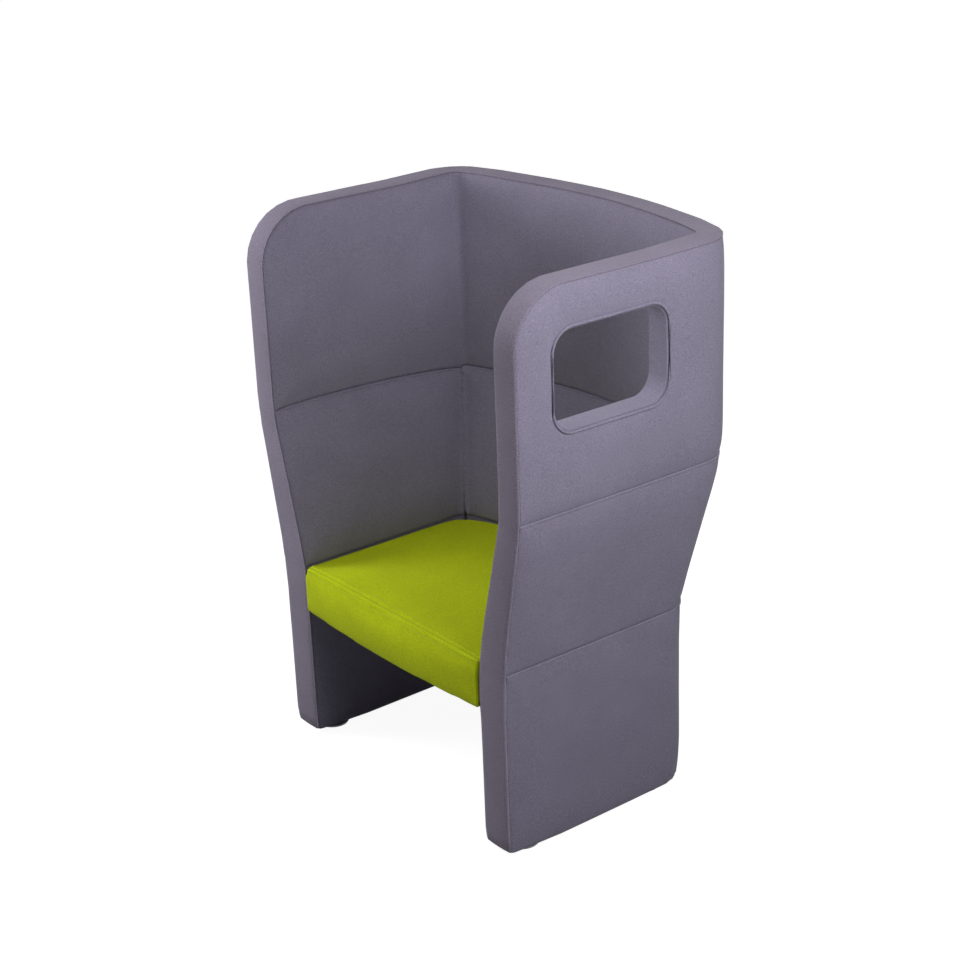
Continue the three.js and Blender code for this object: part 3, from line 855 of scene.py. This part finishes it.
def splay(where):
    """On the inner face the opening reaches further back, so its rear reveal slants."""
    near = np.clip(1 - np.abs(where[:, 1] - window_y[1]) / splay_reach, 0, 1)
    off_middle = np.abs(where[:, 2] - sum(window_z) / 2)
    level = np.clip(1 - (off_middle - splay_fade[0]) / splay_fade[1], 0, 1)
    through = np.clip((shell_half[1] - where[:, 0]) / (shell_half[1] - inner_half[1]), 0, 1)
    return inner_splay * near * level * through


window_panel = bpy.data.objects["right_inner_panel_upper"]
where = points_of(window_panel)
where[:, 1] += splay(where)
put_points(window_panel, where)
lining = skin_of("window_lining", "window_reveal")
where = points_of(lining)
outer_end = where[:, 0] > wall_core_x
where[:, 0] += np.where(outer_end, lining_reach + belly(where[:, 1]), -lining_reach)
where[:, 1] += splay(where)
put_points(lining, where)
soften = lining.modifiers.new("rolled edges", "BEVEL")
soften.width = 0.0018
soften.segments = 3
soften.limit_method = "ANGLE"
bpy.ops.object.modifier_apply(modifier=soften.name)
bpy.ops.object.shade_smooth_by_angle(angle=math.radians(40))
upholster(lining, "window_lining")


def window_loop(x, inset):
    """Points round the window opening, drawn in by an inset, in the plane of one wall face."""
    radius = window_round - inset
    loop = []
    corners = [(window_y[1], window_z[0], -90), (window_y[1], window_z[1], 0),
               (window_y[0], window_z[1], 90), (window_y[0], window_z[0], 180)]
    for end_y, end_z, start in corners:
        centre_y = end_y - math.copysign(window_round, end_y - sum(window_y) / 2)
        centre_z = end_z - math.copysign(window_round, end_z - sum(window_z) / 2)
        for step in range(13):
            angle = math.radians(start + 7.5 * step)
            y = centre_y + radius * math.cos(angle)
            z = centre_z + radius * math.sin(angle)
            out = belly(y) if x > wall_core_x else 0.0
            loop.append(Vector((x + out, y + splay(np.array([[x, y, z]]))[0], z)))
    return loop


for label, x in (("outer", 0.4735), ("inner", 0.4105)):
    path = path_of(window_loop(x, piping_inset), "window_" + label + "_piping")
    path.data.splines[0].use_cyclic_u = True
    path.data.bevel_depth = cord_radius
    path.data.bevel_resolution = 3
    start_alone(path)
    bpy.ops.object.convert(target="MESH")
    piping = bpy.context.object
    bpy.ops.object.shade_smooth()
    upholster(piping, "window_" + label + "_welt")

# The seat: a crowned foam cushion in lime wool, wedged between the walls, with a boxed front panel.
# Its cover is one skin over the foam. The seam along the top of the front panel has a ridge and a row of
# lime stitches on each side of its join, and olive stitches in the join itself.
lime_wool = wool_finish("lime seat wool", (0.355, 0.430, 0.001), (0.700, 0.840, 0.005),
                        rows=1.6, sheen=0.02)
cushion = skin_of("seat_cushion", "seat_squab")
remesh(cushion, 0.006, rounds=4)
swell_core = (-0.300, 0.407)
swell_open = (0.25, 0.5)
swell_room = 0.0045
swell_cap = 0.009
swell_frames = 20


def seat_way(where):
    """The cushion swells up, and forwards at its front; its underside, sides and back are held."""
    way = np.zeros((len(where), 3))
    way[:, 1] = np.minimum(where[:, 1] - swell_core[0], 0.0)
    way[:, 2] = np.maximum(where[:, 2] - swell_core[1], 0.0)
    return way / np.maximum(np.linalg.norm(way, axis=1), 1e-9)[:, None]


start = points_of(cushion)
faces = normals_of(cushion)
open_share = np.clip(((faces * seat_way(start)).sum(1) - swell_open[0]) / swell_open[1], 0, 1)
start = start - faces * (swell_room * open_share)[:, None]
put_points(cushion, start)
held = cushion.vertex_groups.new(name="held")
for index in np.nonzero(open_share < 0.5)[0]:
    held.add([int(index)], 1.0, "REPLACE")
cover = cushion.modifiers.new("stretched cover", "CLOTH")
cover.settings.quality = 4
cover.settings.use_pressure = True
cover.settings.uniform_pressure_force = 4.0
cover.settings.effector_weights.gravity = 0
cover.settings.vertex_group_mass = "held"
cover.point_cache.frame_end = swell_frames
for step in range(1, swell_frames + 1):
    scene.frame_set(step)
start_alone(cushion)
bpy.ops.object.modifier_apply(modifier=cover.name)
scene.frame_set(1)
moved = points_of(cushion) - start
length = np.linalg.norm(moved, axis=1)
kept = swell_cap * np.tanh(length / swell_cap) / np.maximum(length, 1e-9)
put_points(cushion, start + moved * kept[:, None])
cushion.vertex_groups.clear()


def ramp(value, start, reach):
    """From 0 at a start to 1 at a reach beyond it."""
    return min(max((value - start) / reach, 0.0), 1.0)


# Each fade has the place where it starts, and its reach.
top_fade = (0.402, 0.020)
side_fade = (0.285, 0.030)
front_fade = (-0.330, 0.020)
back_fade = (-0.036, 0.030)
turn_fade_x = (0.235, 0.085)
turn_fade_y = (-0.085, 0.085)
seat_half = 0.32
seat_spread = 0.012
spread_half = 0.3245
spread_back = 0.004
edge_lift = 0.004
corner_turn = 0.014
where = points_of(cushion)
for index, (x, y, z) in enumerate(where):
    top = ramp(z, *top_fade)
    back_edge = wall_back(min(abs(x), seat_half), z)
    side_share = top * ramp(abs(x), *side_fade) * ramp(y, *front_fade)
    back_share = top * ramp(y - back_edge, *back_fade)
    turn_in = (ramp(abs(x), *turn_fade_x) * ramp(y - back_edge, *turn_fade_y)) ** 2
    wide = min(abs(x) + seat_spread * side_share, max(abs(x), spread_half)) - corner_turn * turn_in
    deep = min(y + seat_spread * back_share, max(y, back_edge + spread_back)) - corner_turn * turn_in
    lift = edge_lift * max(side_share, back_share) - edge_lift * top * turn_in
    where[index] = (math.copysign(wide, x), deep, z + lift)
put_points(cushion, where)
start_alone(cushion)
bpy.ops.object.shade_smooth()
cushion.data.materials.append(lime_wool)
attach(cushion, "chair_frame")
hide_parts("seat_cushion")

lime_thread = thread_of("lime sewing thread", (0.36, 0.46, 0.01), (0.52, 0.62, 0.03))
olive_thread = thread_of("olive sewing thread", (0.090, 0.120, 0.001), (0.150, 0.190, 0.004))
seat_seam_core = (-0.290, 0.402)
seat_seam_half = 0.318
seat_seam_steps = 64


def seat_line(degrees, proud):
    """Across the cushion's front, where a line from inside it at an angle meets the cover."""
    line = []
    angle = math.radians(degrees)
    way = Vector((0.0, -math.cos(angle), math.sin(angle)))
    for step in range(seat_seam_steps + 1):
        x = -seat_seam_half + 2 * seat_seam_half * step / seat_seam_steps
        hit, spot, normal = cushion.ray_cast(Vector((x, *seat_seam_core)), way)[:3]
        if hit:
            line.append(spot + normal * proud)
    return line


seat_ridges = [tube_of(seat_line(degrees, -0.0018), "seat_" + label + "_ridge", radius=0.0034)
               for label, degrees in (("upper", 60), ("lower", 44))]
seat_rows = [stitches_along(seat_line(degrees, 0.0004), "seat_" + label + "_stitches")
             for label, degrees in (("upper", 66), ("lower", 38))]
seat_join = stitches_along(seat_line(52, 0.0003), "seat_join_stitches")
seat_join.data.materials.append(olive_thread)
for piece in seat_ridges:
    piece.data.materials.append(lime_wool)
for piece in seat_rows:
    piece.data.materials.append(lime_thread)
for piece in seat_ridges + seat_rows + [seat_join]:
    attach(piece, "chair_frame")

# The seat's board and dust cover: plywood screwed under the cushion, closed with black non-woven cloth.
# The cloth is one taut, flat sheet stapled round its edge.
dress("seat_board", board_finish("poplar plywood of the seat", "Z"))

black_cloth, tree, shader, spot = new_finish("black non-woven cloth")
dots = add_node(tree, "ShaderNodeTexVoronoi", {"feature": "F1"}, Vector=spot, Scale=620.0)
fuzz = add_node(tree, "ShaderNodeTexNoise", Vector=spot, Scale=260.0, Detail=4.0)
felt = add_node(tree, "ShaderNodeMix", {"data_type": "RGBA"}, i0=fuzz.outputs[0],
                i6=(0.010, 0.010, 0.011, 1), i7=(0.030, 0.030, 0.033, 1))
bump = add_node(tree, "ShaderNodeBump", Strength=0.6, Distance=0.0005, Height=dots.outputs["Distance"])
join_up(tree, shader, felt.outputs[2], 0.95, bump)

sheet = skin_of("seat_dust_cover", "seat_underside_cloth")
sheet.data.materials.append(black_cloth)
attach(sheet, "chair_frame")
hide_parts("seat_dust_cover")

# The steelwork: angle rails that carry the seat, their bolts, the legs' threaded sleeves and the feet's
# stems. All keep the solids' form, in bright zinc plate, rubbed along the rails and threaded on the stems.
thread_pitch = 0.00125
turn_scale = 0.314
zinc, tree, shader, spot = new_finish("bright zinc plate")
rub = add_node(tree, "ShaderNodeMapping", Vector=spot, Scale=(300.0, 12.0, 300.0))
marks = add_node(tree, "ShaderNodeTexNoise", Vector=rub.outputs[0], Scale=3.0, Detail=4.0)
bloom = add_node(tree, "ShaderNodeTexNoise", Vector=spot, Scale=45.0, Detail=3.0)
plate = add_node(tree, "ShaderNodeMix", {"data_type": "RGBA"}, i0=bloom.outputs[0],
                 i6=(0.50, 0.51, 0.53, 1), i7=(0.68, 0.68, 0.67, 1))
rough = add_node(tree, "ShaderNodeMapRange", Value=marks.outputs[0], i3=0.28, i4=0.46)
join_up(tree, shader, plate.outputs[2], rough.outputs[0])
shader.inputs["Metallic"].default_value = 1.0

thread_cut = zinc.copy()
thread_cut.name = "threaded zinc plate"
tree = thread_cut.node_tree
place = add_node(tree, "ShaderNodeTexCoord")
turns = add_node(tree, "ShaderNodeTexWave", {"bands_direction": "Z"}, Vector=place.outputs["Object"],
                 Scale=turn_scale / thread_pitch)
bump = add_node(tree, "ShaderNodeBump", Strength=0.9, Distance=0.0006, Height=turns.outputs["Fac"])
tree.links.new(bump.outputs[0], tree.nodes["Principled BSDF"].inputs["Normal"])
foot_places = ("front", "rear")
for side in ("left", "right"):
    dress(side + "_seat_rail", zinc)
    for number in ("1", "2"):
        dress(side + "_leg_bolt_" + number, zinc)
        dress(side + "_deck_bolt_" + number, zinc)
    for end in foot_places:
        dress(side + "_" + end + "_foot_sleeve", zinc)
        dress(side + "_" + end + "_foot_stem", thread_cut)

# The feet: a light grey moulded glide under each leg end, turned on its stem to level the chair.
# Each is a disc with a raised hub and a bore for the stem, and a dark rubber sole under it. The disc is a
# little wider than the solid's, so that it shows past the padded leg.
glide_radius = 0.0385
disc_thickness = 0.0040
disc_rim = 0.012
hub_step = 0.002
hub_rise = 0.0004
hub_width = 0.0177
bore_wall = 0.0002
bore_depth = 0.0038
sole_thickness = 0.0012
sole_inset = 0.0012
sole_rim = 0.006
sole_step = 0.001
sole_hollow = 0.0003
light_plastic, tree, shader, spot = new_finish("light grey moulded plastic")
grain = add_node(tree, "ShaderNodeTexNoise", Vector=spot, Scale=900.0, Detail=2.0)
scuffs = add_node(tree, "ShaderNodeTexNoise", Vector=spot, Scale=60.0, Detail=4.0)
shade = add_node(tree, "ShaderNodeMix", {"data_type": "RGBA"}, i0=scuffs.outputs[0],
                 i6=(0.52, 0.52, 0.52, 1), i7=(0.62, 0.62, 0.61, 1))
bump = add_node(tree, "ShaderNodeBump", Strength=0.25, Distance=0.0003, Height=grain.outputs[0])
join_up(tree, shader, shade.outputs[2], 0.45, bump)

sole_rubber, tree, shader, spot = new_finish("dark rubber sole")
grit = add_node(tree, "ShaderNodeTexNoise", Vector=spot, Scale=500.0, Detail=3.0)
dust = add_node(tree, "ShaderNodeMix", {"data_type": "RGBA"}, i0=grit.outputs[0],
                i6=(0.020, 0.020, 0.022, 1), i7=(0.060, 0.058, 0.056, 1))
join_up(tree, shader, dust.outputs[2], 0.85)


def disc_at(name, middle, radius, thickness, low):
    """A plain disc under one foot, from a height upwards."""
    bpy.ops.object.select_all(action="DESELECT")
    bpy.ops.mesh.primitive_cylinder_add(vertices=64, radius=radius, depth=thickness,
                                        location=(middle.x, middle.y, low + thickness / 2))
    disc = bpy.context.object
    disc.name = name
    bpy.ops.object.transform_apply(location=True, rotation=True, scale=True)
    return disc


def step_face(piece, height, sign, steps):
    """The flat face at a height, facing up or down, is inset in steps, each with its width and its rise."""
    bpy.ops.object.mode_set(mode="EDIT")
    bpy.ops.mesh.select_mode(type="FACE")
    bpy.ops.mesh.select_all(action="DESELECT")
    bpy.ops.object.mode_set(mode="OBJECT")
    for face in piece.data.polygons:
        level = sign * face.normal.z > 0.9 and abs(face.center.z - height) < 0.0003
        face.select = level and len(face.vertices) > 8
    bpy.ops.object.mode_set(mode="EDIT")
    for width, rise in steps:
        bpy.ops.mesh.inset(thickness=width, depth=rise)
    bpy.ops.object.mode_set(mode="OBJECT")


def round_edges(piece, name, width, segments, finish):
    """The moulded piece's edges are rounded before it takes its finish."""
    edge = piece.modifiers.new(name, "BEVEL")
    edge.width = width
    edge.segments = segments
    edge.limit_method = "ANGLE"
    bpy.ops.object.modifier_apply(modifier=edge.name)
    bpy.ops.object.shade_smooth_by_angle(angle=math.radians(35))
    piece.data.materials.append(finish)


for side in ("left", "right"):
    for end in foot_places:
        foot = side + "_" + end
        low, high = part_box(foot + "_foot_glide")
        middle = (low + high) / 2
        glide = disc_at(foot + "_glide_disc", middle, glide_radius, disc_thickness, sole_thickness)
        step_face(glide, sole_thickness + disc_thickness, 1,
                  ((disc_rim, 0.0), (hub_step, hub_rise), (hub_width, 0.0), (bore_wall, -bore_depth)))
        round_edges(glide, "moulded edge", 0.0009, 3, light_plastic)
        sole = disc_at(foot + "_glide_sole", middle, glide_radius - sole_inset, sole_thickness, 0.0)
        step_face(sole, 0.0, -1, ((sole_rim, 0.0), (sole_step, -sole_hollow)))
        round_edges(sole, "pressed edge", 0.0003, 2, sole_rubber)
        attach(glide, foot + "_glide")
        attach(sole, foot + "_glide")
        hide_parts(foot + "_foot_glide")
